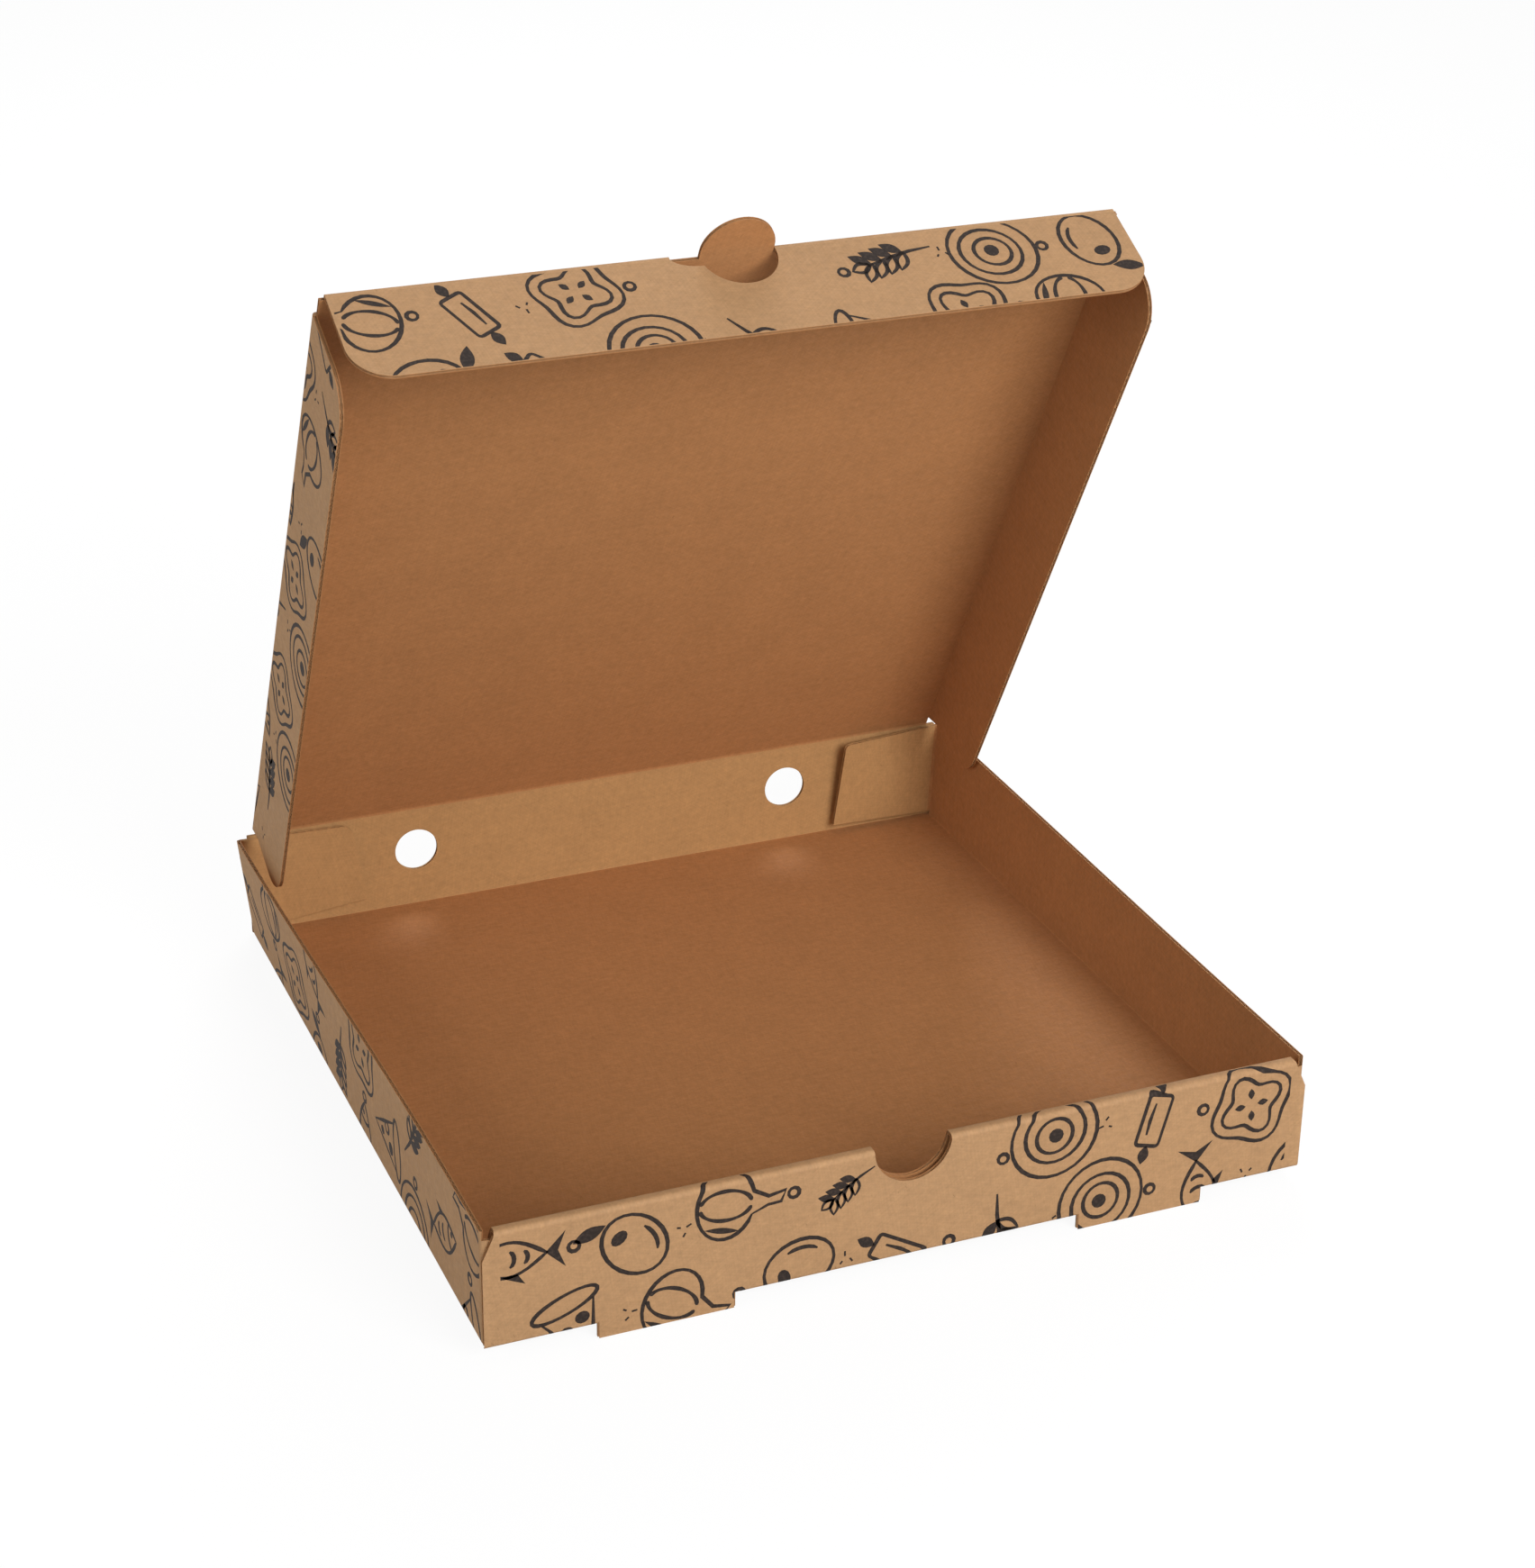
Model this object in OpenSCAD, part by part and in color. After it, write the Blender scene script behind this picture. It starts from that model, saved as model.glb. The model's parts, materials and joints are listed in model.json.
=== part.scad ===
// Pizza box folded from one die-cut sheet of fine-flute kraft board, shown with its lid raised.
// The tray is one folded piece. The lid panel and its three tuck flaps turn on their creases.
// The origin is the middle of the floor's underside, the front wall faces -Y and +Z is up.

/* [Board] */
// Thickness of the corrugated board
board_t = 1.6; // [1.2:0.1:2.4]
// Gap between a panel and the rounded crease edge of the panel that turns beside it
fold_play = 0.3; // [0.2:0.05:0.6]

/* [Tray] */
// Outer width across the side walls
box_w = 330; // [260:1:450]
// Outer depth from the front wall to the back wall
box_d = 330; // [260:1:450]
// Height of the walls above the floor's underside
wall_h = 48; // [40:1:70]
// Slack shared by the plies of the rolled-over front wall
ply_slack = 0.6; // [0.4:0.1:2]
// Width of the slanted cut at the front wall's top corners
corner_cut_w = 5; // [2:0.5:10]
// Height of the slanted cut at the front wall's top corners
corner_cut_h = 11; // [4:0.5:20]
// Radius of the thumb notch in the front wall's top edge
notch_r = 15.5; // [10:0.5:20]

/* [Feet and locking tabs] */
// Width of each foot, and of the floor slot that it was cut from
foot_w = 52; // [30:1:60]
// Distance from the tray's side to the near end of a foot
foot_inset = 43; // [30:1:60]
// Play of a locking tab in its floor slot
tab_play = 0.3; // [0.2:0.05:0.6]

/* [Vent holes] */
// Diameter of the round holes in the back wall
vent_d = 19.5; // [12:0.5:26]
// Distance from the tray's side to the centre of a hole
vent_inset = 76; // [70:1:100]
// Distance from the back wall's top edge down to the centre of a hole
vent_drop = 20; // [15:0.5:26]

/* [Corner flaps] */
// Length of a rear corner flap along its top edge
rear_flap_top = 46; // [30:1:52]
// Length of a rear corner flap along its bottom edge
rear_flap_bottom = 53; // [30:1:56]
// Length of a front corner flap, caught between the plies of the front wall
front_flap_l = 60; // [20:1:90]
// Distance from a corner flap's edges to the floor and to the level of the wall's top
corner_flap_play = 2; // [0.5:0.5:6]
// Gap between a rear corner flap and the back wall behind it
corner_gap = 0.3; // [0.2:0.1:1]

/* [Lid] */
// Angle that the lid is raised from closed
lid_open = 62; // [30:1:90]
// Play between the tuck flaps and the walls that they slide down inside
tuck_play = 0.5; // [0.3:0.1:2]
// Height of the tuck flaps' free edges above the floor's underside with the lid shut
tuck_floor_gap = 6; // [4:0.5:12]
// Radius of the tuck flaps' free corners
tuck_corner_r = 16; // [6:0.5:24]
// Distance from the lid's creases to each end of a side flap
side_flap_setback = 8; // [6:0.5:20]
// Distance from the lid's side creases to each end of the front flap
front_flap_setback = 2; // [1:0.5:10]

/* [Thumb tab] */
// Width of the round thumb tab on the lid's front crease
thumb_w = 30; // [20:1:40]
// Length of the thumb tab's straight sides, between the crease and its round end
thumb_straight = 2; // [1:0.5:10]
// Gap of the die cut around the thumb tab
cut_gap = 0.4; // [0.3:0.05:1]
// How far the die cut runs on to the left along the crease
cut_run = 12; // [4:0.5:20]
// Depth of that run-on into the front flap
cut_run_d = 6; // [2:0.5:10]

/* [Hidden] */
$fn = 96;
kraft = [0.72, 0.55, 0.37];
kraft_inside = [0.66, 0.48, 0.31];
// Tool overlap where one shape cuts through another
cut_past = 1;
half_w = box_w/2;
half_d = box_d/2;
// Thickness of the whole front wall: outer ply, corner flap and inner ply, with their slack
front_t = 3*board_t + ply_slack;
front_inner_y = -half_d + front_t;
// The side walls run between the outer front ply and the back wall
side_front_y = -half_d + board_t + ply_slack/2;
side_rear_y = half_d - board_t - corner_gap;
// The floor slot reaches from the outer ply to just behind the inner ply, and its board makes the foot
slot_d = front_t - board_t + tab_play;
foot_h = slot_d + board_t;
foot_x = half_w - foot_inset - foot_w/2;
tab_w = foot_w - 2*tab_play;
// Inner ply and top strip of the front wall, between the side walls
inner_w = box_w - 2*board_t - 2*ply_slack;
// Outer radius of a fold: the board bends about its inner face
fold_r = board_t;
vent_x = half_w - vent_inset;
vent_z = wall_h - vent_drop;
// The lid turns about the middle of its rounded rear edge, which lies on the back wall's top
hinge_y = half_d - board_t/2;
hinge_z = wall_h + fold_play + board_t/2;
// The front flap's crease, measured along the lid from the hinge
front_crease = hinge_y - front_inner_y - tuck_play - board_t/2;
tuck_depth = hinge_z - tuck_floor_gap;
// The side flaps turn about the lid's inner face
side_crease_x = half_w - 2*board_t - tuck_play;
lid_half_w = side_crease_x - fold_play;
lid_l = front_crease - board_t/2 - fold_play;

// A sheet of board with a flat outline in X and Z, its middle plane at Y = 0
module upright_board()
    rotate([90, 0, 0])
        linear_extrude(board_t, center = true)
            children();

// A strip hanging down from Y = 0, with its two lower corners rounded
module tuck_outline(width, depth, r) {
    translate([0, r - depth])
        square([width, depth - r]);
    translate([r, -depth])
        square([width - 2*r, depth]);
    for (x = [r, width - r])
        translate([x, r - depth])
            circle(r);
}

// The round-ended thumb tab, pointing up from the crease at Y = 0 and rooted in the lid panel below it
module thumb_outline(grow) {
    r = thumb_w/2 + grow;
    root = front_crease - lid_l + cut_past;
    translate([-r, -root])
        square([2*r, thumb_straight + root]);
    translate([0, thumb_straight])
        circle(r);
}

// The die cut's run-on beside the tab: a quarter of an ellipse along the crease
module cut_run_outline() {
    start = -thumb_w/2;
    polygon(concat(
        [[start, -cut_past], [start, cut_run_d]],
        [for (a = [85:-5:0]) [start - cut_run*cos(a), cut_run_d*sin(a)]],
        [[start - cut_run, -cut_past]]));
}

// Rear corner flap, from the tray's side towards its middle
module rear_flap_outline() {
    low = board_t + corner_flap_play;
    high = wall_h - corner_flap_play;
    polygon([[0, low], [rear_flap_bottom, low], [rear_flap_top, high], [0, high]]);
}

// Outer front ply with its two slanted corners
module outer_ply_outline()
    polygon([
        [-half_w, 0], [half_w, 0], [half_w, wall_h - corner_cut_h], [half_w - corner_cut_w, wall_h],
        [corner_cut_w - half_w, wall_h], [-half_w, wall_h - corner_cut_h]]);

// Inner front ply with the two locking tabs that stand in the floor slots
module inner_ply_outline() {
    translate([-inner_w/2, board_t])
        square([inner_w, wall_h - board_t]);
    for (side = [-1, 1])
        translate([side*foot_x - tab_w/2, 0])
            square([tab_w, wall_h/2]);
}

module floor_panel()
    difference() {
        translate([-half_w, -half_d, 0])
            cube([box_w, box_d, board_t]);
        for (side = [-1, 1])
            translate([side*foot_x - foot_w/2, -half_d + board_t, -cut_past])
                cube([foot_w, slot_d, board_t + 2*cut_past]);
    }

// Outer ply, top strip and inner ply of the front wall, with the thumb notch through both plies
module front_wall()
    difference() {
        union() {
            translate([0, -half_d + board_t/2, 0])
                upright_board()
                    outer_ply_outline();
            translate([0, front_inner_y - board_t/2, 0])
                upright_board()
                    inner_ply_outline();
            translate([-inner_w/2, -half_d + board_t/2, wall_h - board_t])
                cube([inner_w, front_t - board_t, board_t]);
        }
        translate([0, -half_d - cut_past, wall_h])
            rotate([-90, 0, 0])
                cylinder(r = notch_r, h = front_t + 2*cut_past);
    }

// The feet: board of the floor slots, left standing in the plane of the outer front ply
module feet()
    for (side = [-1, 1])
        translate([side*foot_x - foot_w/2, -half_d, -foot_h])
            cube([foot_w, board_t, foot_h + 2*board_t]);

module back_wall()
    difference() {
        translate([-half_w, half_d - board_t, 0])
            cube([box_w, board_t, wall_h]);
        for (side = [-1, 1])
            translate([side*vent_x, half_d - board_t - cut_past, vent_z])
                rotate([-90, 0, 0])
                    cylinder(d = vent_d, h = board_t + 2*cut_past);
    }

// Takes the sharp corner off a fold: the corner lies on the Z axis, with board on +X and +Y
module fold_cutter(length)
    difference() {
        translate([-cut_past, -cut_past, -length/2])
            cube([fold_r + cut_past, fold_r + cut_past, length]);
        translate([fold_r, fold_r, -length/2 - cut_past])
            cylinder(r = fold_r, h = length + 2*cut_past);
    }

// Right side wall with its front and rear corner flaps, rounded where they fold
module side_wall() {
    flap_low = board_t + corner_flap_play;
    difference() {
        union() {
            translate([half_w - board_t, side_front_y, 0])
                cube([board_t, side_rear_y - side_front_y, wall_h]);
            translate([half_w, side_rear_y - board_t/2, 0])
                mirror([1, 0, 0])
                    upright_board()
                        rear_flap_outline();
            translate([half_w - front_flap_l, side_front_y, flap_low])
                cube([front_flap_l, board_t, wall_h - flap_low - board_t - corner_flap_play]);
        }
        translate([half_w, 0, flap_low + wall_h/2])
            mirror([1, 0, 0]) {
                translate([0, side_front_y, 0])
                    fold_cutter(wall_h);
                translate([0, side_rear_y, 0])
                    mirror([0, 1, 0])
                        fold_cutter(wall_h);
            }
    }
}

// The fold cutter laid along X, with board on +Y and +Z
module fold_cutter_x(length)
    rotate([90, 0, 90])
        fold_cutter(length);

// Rounds the tray's outer folds round the floor and along the front wall's top
module fold_cutters() {
    for (back = [0, 1])
        mirror([0, back, 0])
            translate([0, -half_d, 0])
                fold_cutter_x(box_w + 2*cut_past);
    for (right = [0, 1])
        mirror([right, 0, 0])
            translate([-half_w, 0, 0])
                rotate([0, 0, -90])
                    fold_cutter_x(box_d + 2*cut_past);
    translate([0, -half_d, wall_h])
        mirror([0, 0, 1])
            fold_cutter_x(inner_w + ply_slack);
    translate([0, front_inner_y, wall_h])
        mirror([0, 1, 0])
            mirror([0, 0, 1])
                fold_cutter_x(inner_w + ply_slack);
}

module tray()
    color(kraft) {
        difference() {
            union() {
                floor_panel();
                front_wall();
                back_wall();
                side_wall();
                mirror([1, 0, 0])
                    side_wall();
            }
            fold_cutters();
        }
        feet();
    }

// Lays out a lid piece: the hinge on the X axis, the shut lid reaching along -Y and its outer face up
module raised()
    translate([0, hinge_y, hinge_z])
        rotate([-lid_open, 0, 0])
            children();

module lid_panel()
    color(kraft_inside)
        raised() {
            translate([-lid_half_w, -lid_l, -board_t/2])
                cube([2*lid_half_w, lid_l, board_t]);
            rotate([0, 90, 0])
                cylinder(d = board_t, h = 2*lid_half_w, center = true);
            translate([0, -front_crease, -board_t/2])
                mirror([0, 1, 0])
                    linear_extrude(board_t)
                        thumb_outline(0);
        }

module lid_front_flap() {
    width = 2*(lid_half_w - front_flap_setback);
    color(kraft)
        raised()
            translate([0, -front_crease, 0])
                difference() {
                    union() {
                        upright_board()
                            translate([-width/2, 0])
                                tuck_outline(width, tuck_depth, tuck_corner_r);
                        rotate([0, 90, 0])
                            cylinder(d = board_t, h = width, center = true);
                    }
                    rotate([90, 0, 0])
                        linear_extrude(board_t + 2*cut_past, center = true)
                            mirror([0, 1, 0]) {
                                thumb_outline(cut_gap);
                                cut_run_outline();
                            }
                }
}

// Right side flap, hanging from the lid's right edge, with its crease edge rounded about the turning axis
module side_flap() {
    length = front_crease - 2*side_flap_setback;
    depth = tuck_depth - board_t/2;
    raised()
        translate([side_crease_x, -side_flap_setback, -board_t/2]) {
            translate([board_t/2, 0, 0])
                rotate([0, 0, -90])
                    upright_board()
                        tuck_outline(length, depth, tuck_corner_r);
            intersection() {
                rotate([90, 0, 0])
                    cylinder(r = board_t, h = length);
                translate([0, -length - cut_past, 0])
                    cube([2*board_t, length + 2*cut_past, 2*board_t]);
            }
        }
}

module lid_right_flap()
    color(kraft)
        side_flap();

module lid_left_flap()
    color(kraft)
        mirror([1, 0, 0])
            side_flap();

tray();
lid_panel();
lid_front_flap();
lid_left_flap();
lid_right_flap();
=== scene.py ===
import itertools
import json
import math
import random

import bmesh
import bpy
from mathutils import Matrix, Vector


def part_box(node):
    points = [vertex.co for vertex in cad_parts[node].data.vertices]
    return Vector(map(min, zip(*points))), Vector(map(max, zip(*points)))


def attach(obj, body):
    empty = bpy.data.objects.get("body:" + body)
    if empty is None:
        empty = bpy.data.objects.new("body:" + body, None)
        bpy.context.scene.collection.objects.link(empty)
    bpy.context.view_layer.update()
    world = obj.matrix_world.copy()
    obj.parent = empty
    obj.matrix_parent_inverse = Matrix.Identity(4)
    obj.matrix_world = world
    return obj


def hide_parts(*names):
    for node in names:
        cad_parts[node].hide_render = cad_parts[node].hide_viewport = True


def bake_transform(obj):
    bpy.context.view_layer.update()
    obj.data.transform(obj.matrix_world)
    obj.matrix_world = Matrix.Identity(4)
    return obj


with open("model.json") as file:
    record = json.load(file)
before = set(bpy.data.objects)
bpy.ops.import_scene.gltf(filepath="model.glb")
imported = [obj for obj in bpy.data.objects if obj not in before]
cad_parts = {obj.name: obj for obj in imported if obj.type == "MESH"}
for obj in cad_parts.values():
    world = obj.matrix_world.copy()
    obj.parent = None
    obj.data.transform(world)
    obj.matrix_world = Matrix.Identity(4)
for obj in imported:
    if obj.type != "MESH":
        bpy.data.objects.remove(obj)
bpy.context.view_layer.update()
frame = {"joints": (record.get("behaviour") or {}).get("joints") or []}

# Tray: floor, four walls and corner flaps, all one die-cut sheet of fine-flute kraft board.
# The blank is cut and printed flat and folded up at its creases. The front wall is rolled over
# twice and holds by two tabs that stand in floor slots, whose board is left on the wall as feet.
tray_low, tray_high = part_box("tray")
half_w, half_d, wall_h = tray_high
foot_low = tray_low.z
flap_low, flap_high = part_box("lid_right_flap")
board_t = flap_high.x - flap_low.x
liner_t = 0.00028
flute_pitch, flute_line, flute_steps = 0.0033, 0.0002, 8
edge_recess = 0.0005
ribbon_inset, ribbon_d = 0.15 * edge_recess, 2 * edge_recess
bend_in = 0.00025
bend_r = board_t + bend_in
crease_w, crease_steps = 0.0016, 6
ink_lift, ink_t = 0.00004, 0.00006
sharp_angle = math.radians(40)
same_place = 1e-7

kraft_outside = (0.444, 0.252, 0.119, 1)
kraft_inside = (0.420, 0.191, 0.071, 1)
kraft_fluting = (0.330, 0.175, 0.075, 1)
# A paler, yellower copy of the inside liner for the back wall and rear flaps: painted light, not a different
# board.
kraft_rear_painted_light = (0.449, 0.243, 0.094, 1)
ink_brown = (0.020, 0.013, 0.010, 1)


def add_node(tree, kind, inputs=None, **settings):
    """Adds a shader node; an input is given as a value or as the socket that feeds it."""
    made = tree.nodes.new(kind)
    for key, value in settings.items():
        setattr(made, key, value)
    for key, value in (inputs or {}).items():
        if isinstance(value, bpy.types.NodeSocket):
            tree.links.new(value, made.inputs[key])
        else:
            made.inputs[key].default_value = value
    return made


def kraft_board(name, colour):
    """Uncoated kraft liner: cloudy pulp, crossed fibres, dark flecks, faint flute lines painted as the shade
    of the liner's ripples, and paler folds.
    """
    material = bpy.data.materials.new(name)
    material.use_nodes = True
    tree = material.node_tree
    shader = tree.nodes["Principled BSDF"]
    blank = add_node(tree, "ShaderNodeUVMap", uv_map="blank").outputs["UV"]

    def noise(scale, stretch=(1, 1, 1), turn=0.0, detail=4.0):
        """Noise over the flat blank, drawn out by its stretch and laid at an angle."""
        place = {"Vector": blank, "Scale": stretch, "Rotation": (0, 0, turn)}
        laid = add_node(tree, "ShaderNodeMapping", place, vector_type="TEXTURE")
        grain = {"Vector": laid.outputs["Vector"], "Scale": scale, "Detail": detail}
        return add_node(tree, "ShaderNodeTexNoise", grain).outputs["Fac"]

    def ramp(source, taken, given=(0.0, 1.0)):
        """Turns the range that is taken from a value into the range that is given."""
        ends = {"From Min": taken[0], "From Max": taken[1], "To Min": given[0], "To Max": given[1]}
        return add_node(tree, "ShaderNodeMapRange", {"Value": source, **ends}).outputs["Result"]

    def maths(operation, a, b=0.0):
        """One step of arithmetic on one or two values."""
        return add_node(tree, "ShaderNodeMath", {0: a, 1: b}, operation=operation).outputs["Value"]

    # Each layer of tone is a noise, the part of its range that shows and how far it changes the tone.
    pulp = ramp(noise(45), (0.30, 0.70), (0.965, 1.035))
    mottle = ramp(noise(260, detail=6.0), (0.30, 0.70), (0.95, 1.05))
    fibres = [ramp(noise(900, (4.5, 0.7, 1), turn), (0.35, 0.68), (0.955, 1.05))
              for turn in (0.3, 1.4, 2.5)]
    flecks = ramp(noise(620, (2.0, 0.7, 1), 1.1, 2.0), (0.70, 0.78), (1.0, 0.78))
    bright = ramp(noise(480, (2.5, 0.7, 1), -0.6, 2.0), (0.72, 0.80), (1.0, 1.14))

    # Faint flute lines: the tone rises and falls with the flutes, painted shade for the light on the liner's
    # ripples, which the bump also makes.
    across = add_node(tree, "ShaderNodeSeparateXYZ", {"Vector": blank})
    flute = maths("SINE", maths("MULTIPLY", across.outputs["Y"], math.tau / flute_pitch))
    flute_painted_shade = ramp(flute, (-1, 1), (0.988, 1.012))

    fold = add_node(tree, "ShaderNodeAttribute", attribute_name="fold")
    crack = ramp(noise(1400, (3.3, 0.7, 1), 0.0, 3.0), (0.40, 0.62))
    rubbed = maths("MULTIPLY", fold.outputs["Fac"], ramp(crack, (0, 1), (0.35, 1.0)))
    fold_tone = ramp(rubbed, (0, 1), (1.0, 1.06))

    tone = pulp
    for layer in (mottle, *fibres, flecks, bright, flute_painted_shade, fold_tone):
        tone = maths("MULTIPLY", tone, layer)
    shade = add_node(tree, "ShaderNodeVectorMath", {0: colour[:3], "Scale": tone}, operation="SCALE")
    tree.links.new(shade.outputs["Vector"], shader.inputs["Base Color"])

    tree.links.new(ramp(noise(340), (0.3, 0.7), (0.66, 0.84)), shader.inputs["Roughness"])
    shader.inputs["Specular IOR Level"].default_value = 0.35
    height = maths("ADD", maths("MULTIPLY", flute, 0.25), maths("ADD", fibres[0], fibres[1]))
    bump = add_node(tree, "ShaderNodeBump", {"Strength": 0.18, "Distance": 0.0001, "Height": height})
    tree.links.new(bump.outputs["Normal"], shader.inputs["Normal"])
    return material


def line_ink(name, colour):
    """Water-based printing ink: matt, a little thin where the fibres take it badly."""
    material = bpy.data.materials.new(name)
    material.use_nodes = True
    tree = material.node_tree
    shader = tree.nodes["Principled BSDF"]
    shader.inputs["Roughness"].default_value = 0.75
    shader.inputs["Specular IOR Level"].default_value = 0.25
    blank = add_node(tree, "ShaderNodeUVMap", uv_map="blank")
    grain = {"Vector": blank.outputs["UV"], "Scale": 700, "Detail": 3}
    patches = add_node(tree, "ShaderNodeTexNoise", grain).outputs["Fac"]
    ends = {"From Min": 0.45, "From Max": 0.75, "To Min": 1.0, "To Max": 2.6}
    thin = add_node(tree, "ShaderNodeMapRange", {"Value": patches, **ends}).outputs["Result"]
    shade = add_node(tree, "ShaderNodeVectorMath", {0: colour[:3], "Scale": thin}, operation="SCALE")
    tree.links.new(shade.outputs["Vector"], shader.inputs["Base Color"])
    return material


board_finishes = [
    kraft_board("kraft_outside", kraft_outside),
    kraft_board("kraft_inside", kraft_inside),
    kraft_board("kraft_fluting", kraft_fluting),
    kraft_board("kraft_rear_painted_light", kraft_rear_painted_light),
]
OUTSIDE, INSIDE, FLUTING, INSIDE_PAINTED_LIT = range(4)
print_finish = [line_ink("line_ink", ink_brown)]


def arc(centre, radius, start, end, steps=12):
    """Points of a round stretch, from one angle in degrees to another."""
    angles = [math.radians(start + (end - start) * k / steps) for k in range(steps + 1)]
    return [(centre[0] + radius * math.cos(a), centre[1] + radius * math.sin(a)) for a in angles]


def cut_across(shape, place, facing, **options):
    """Cuts edges through a whole mesh along a plane."""
    everything = shape.verts[:] + shape.edges[:] + shape.faces[:]
    bmesh.ops.bisect_plane(shape, geom=everything, plane_co=place, plane_no=facing, **options)


def divide(sheet, lines_x, lines_y):
    """Cuts edges across a flat mesh at each X and each Y given."""
    for axis, lines in ((Vector((1, 0, 0)), lines_x), (Vector((0, 1, 0)), lines_y)):
        for line in lines:
            cut_across(sheet, axis * line, axis, dist=same_place)


def cut_sheet(outlines, lines_x=(), lines_y=()):
    """A flat die-cut sheet in X and Y, divided along the given lines so that it can bend there."""
    sheet = bmesh.new()
    for outline in outlines:
        ring = [sheet.verts.new((x, y, board_t)) for x, y in outline]
        for a, b in zip(ring, ring[1:] + ring[:1]):
            sheet.edges.new((a, b))
    bmesh.ops.triangle_fill(sheet, edges=sheet.edges[:], use_beauty=True)
    divide(sheet, lines_x, lines_y)
    if sheet.faces[:][0].normal.z < 0:
        bmesh.ops.reverse_faces(sheet, faces=sheet.faces[:])
    return sheet


def flute_ribbons(sheet):
    """The wavy paper between the liners, as it shows along every cut edge of a flat sheet."""
    ribbons = bmesh.new()
    for edge in [e for e in sheet.edges if e.is_boundary]:
        start, end = (v.co.copy() for v in edge.verts)
        run = end - start
        inward = Vector((-run.y, run.x, 0)).normalized()
        if inward.dot(edge.link_faces[0].calc_center_median() - start) < 0:
            inward.negate()
        steps = max(1, round(abs(run.y) / flute_pitch * flute_steps))
        depth = inward * ribbon_d
        middle = (start + end) / 2 + inward * ribbon_inset + depth / 2
        place = Matrix((
            (run.x, depth.x, 0, middle.x),
            (run.y, depth.y, 0, middle.y),
            (0, 0, 1, 0),
            (0, 0, 0, 1)))
        bmesh.ops.create_grid(ribbons, x_segments=steps, y_segments=1, size=0.5, matrix=place)
    swing = board_t / 2 - liner_t - flute_line / 2
    for v in ribbons.verts:
        v.co.z = board_t / 2 + flute_line / 2 + swing * math.sin(math.tau * v.co.y / flute_pitch)
    bmesh.ops.recalc_face_normals(ribbons, faces=ribbons.faces[:])
    bmesh.ops.solidify(ribbons, geom=ribbons.faces[:], thickness=flute_line)
    for face in ribbons.faces:
        face.material_index = FLUTING
    return ribbons


def add_to(whole, part):
    """Puts one bmesh's faces into another and frees it."""
    carried = bpy.data.meshes.new("carried")
    part.to_mesh(carried)
    part.free()
    whole.from_mesh(carried)
    bpy.data.meshes.remove(carried)


def note_blank(flat):
    """Keeps each point's place on the flat blank, which the finishes follow after folding."""
    blank = flat.loops.layers.uv.new("blank")
    for face in flat.faces:
        for loop in face.loops:
            loop[blank].uv = loop.vert.co.xy


def make_board(sheet):
    """Gives a flat sheet its thickness, its two liners and open flutes at the cut edges."""
    ribbons = flute_ribbons(sheet)
    bmesh.ops.solidify(sheet, geom=sheet.faces[:], thickness=board_t)
    for height in (liner_t, board_t - liner_t):
        cut_across(sheet, (0, 0, height), (0, 0, 1), dist=same_place)
    for face in sheet.faces:
        face.material_index = OUTSIDE if face.normal.z < -0.5 else INSIDE
    middle = [f for f in sheet.faces if abs(f.calc_center_median().z - board_t / 2) < liner_t]
    bmesh.ops.inset_region(sheet, faces=middle, thickness=0, depth=-edge_recess, use_even_offset=True)
    for face in middle:
        face.material_index = FLUTING
    add_to(sheet, ribbons)
    note_blank(sheet)
    return sheet


def lay(flat, place):
    """Takes every point of a flat shape to its place on the folded box."""
    for v in flat.verts:
        v.co = place(v.co)
    return flat


def finish_piece(name, shape, finishes, body, node=None):
    """Makes a folded shape an object, with its finishes, its body and the solid that it stands for."""
    mesh = bpy.data.meshes.new(name)
    shape.to_mesh(mesh)
    shape.free()
    for finish in finishes:
        mesh.materials.append(finish)
    mesh.shade_smooth()
    mesh.set_sharp_from_angle(angle=sharp_angle)
    piece = bpy.data.objects.new(name, mesh)
    bpy.context.scene.collection.objects.link(piece)
    if body:
        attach(piece, body)
    if node:
        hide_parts(node)
    return piece


def creased(reach, depth, start, angle):
    """Where a point of the board goes when the board is folded past a crease that begins at start."""
    if reach <= start:
        return reach, depth
    turned = angle * min(1, (reach - start) / crease_w)
    past = max(0, reach - start - crease_w)
    radius = bend_r - depth
    return (start + radius * math.sin(turned) + past * math.cos(turned),
            bend_r - radius * math.cos(turned) + past * math.sin(turned))


def crease_lines(start):
    """Where the board is divided to bend smoothly at a crease, with a line just before and after it."""
    support = crease_w / 2
    bends = [start + crease_w * k / crease_steps for k in range(crease_steps + 1)]
    return [start - support, *bends, start + crease_w + support]


# Folds and edges of the blank, measured on the flat sheet from its middle.
floor_x = half_w - bend_r
floor_y = half_d - bend_r


def up_side(height):
    """How far from the blank's middle a height on the side walls lies."""
    return floor_x + crease_w + height - bend_r


def up_end(height):
    """How far from the blank's middle a height on the front and back walls lies."""
    return floor_y + crease_w + height - bend_r


ply_slack, tab_play, corner_gap = 0.0006, 0.0003, 0.0003
front_t = 3 * board_t + ply_slack
back_top = up_end(wall_h)
front_fold = back_top - bend_r
inner_fold = front_fold + crease_w + front_t - 2 * bend_r
inner_end = inner_fold + crease_w + wall_h - bend_r - board_t
inner_half = half_w - board_t - ply_slack
tab_end = inner_end + board_t
flap_fold = half_d - board_t - corner_gap - bend_r
wall_end = flap_fold + crease_w / 2
flap_start = flap_fold + crease_w - bend_r

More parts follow.
